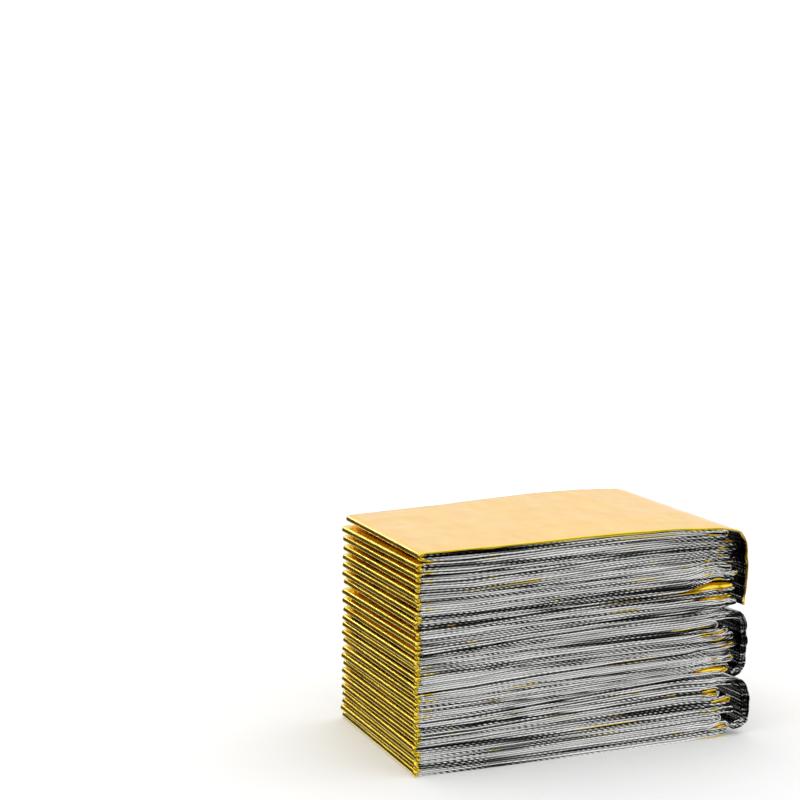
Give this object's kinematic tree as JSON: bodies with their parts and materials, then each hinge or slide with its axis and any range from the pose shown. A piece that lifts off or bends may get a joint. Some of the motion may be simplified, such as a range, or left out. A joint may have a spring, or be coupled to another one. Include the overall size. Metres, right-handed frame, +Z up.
{
  "type": "emergency foil blanket",
  "caption": "Thin metallised film blanket, gold on one side and silver on the other, folded back and forth into a compact block that keeps a person warm once it is opened out.",
  "frame": {"origin": "middle of the bottom of the folded blanket's box, on the surface it rests on", "axes": "+X runs along the layers from the pleated end to the end with the rounded lobes, +Y runs across the depth away from the long face seen in the picture, +Z is up"},
  "size_m": [0.1372, 0.0848, 0.0845],
  "materials": {
    "metallised_film": "bright metal coating on thin plastic film, gold on the top side and silver on the other"
  },
  "bodies": {
    "root": {"foil_blanket": "metallised_film"}
  },
  "joints": []
}
